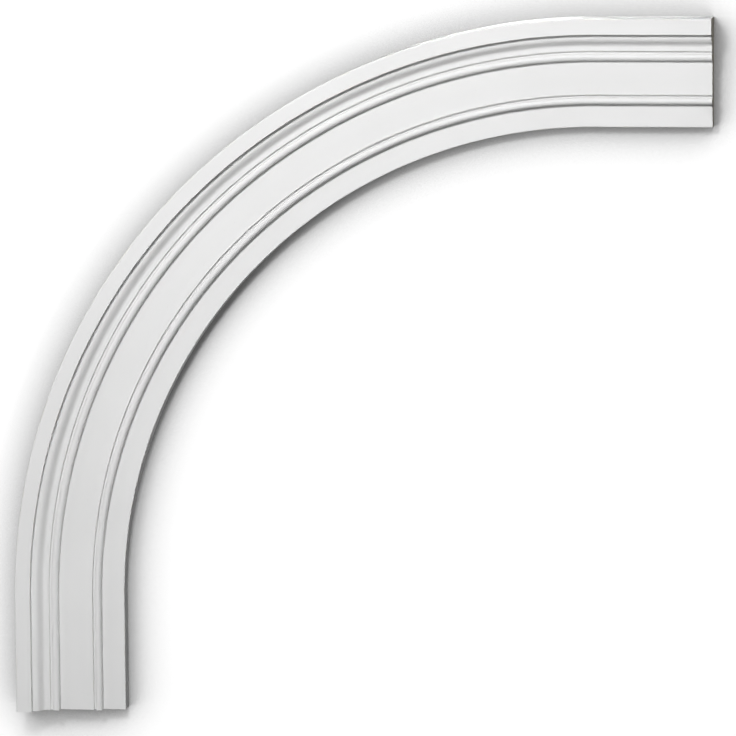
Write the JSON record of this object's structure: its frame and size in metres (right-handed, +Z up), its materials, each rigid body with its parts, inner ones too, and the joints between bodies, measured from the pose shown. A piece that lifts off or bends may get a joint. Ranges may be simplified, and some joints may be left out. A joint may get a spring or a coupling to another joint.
{
  "type": "arched window surround",
  "caption": "Quarter-arch length of window surround: a casing with back band, ogee, beads and flat fasciae, straight at both ends, fixed flat to a wall.",
  "frame": {"origin": "on the flat back, at the middle of the casing's width, half way round the quarter arc", "axes": "+X towards the crown of the arch, +Z up, +Y into the wall, so the moulded face looks along -Y"},
  "size_m": [0.7795, 0.048, 0.7795],
  "materials": {
    "white_primer": "smooth white primer over a rigid foam casting, matt to low sheen"
  },
  "bodies": {
    "root": {"arch_casing": "white_primer"}
  },
  "joints": []
}
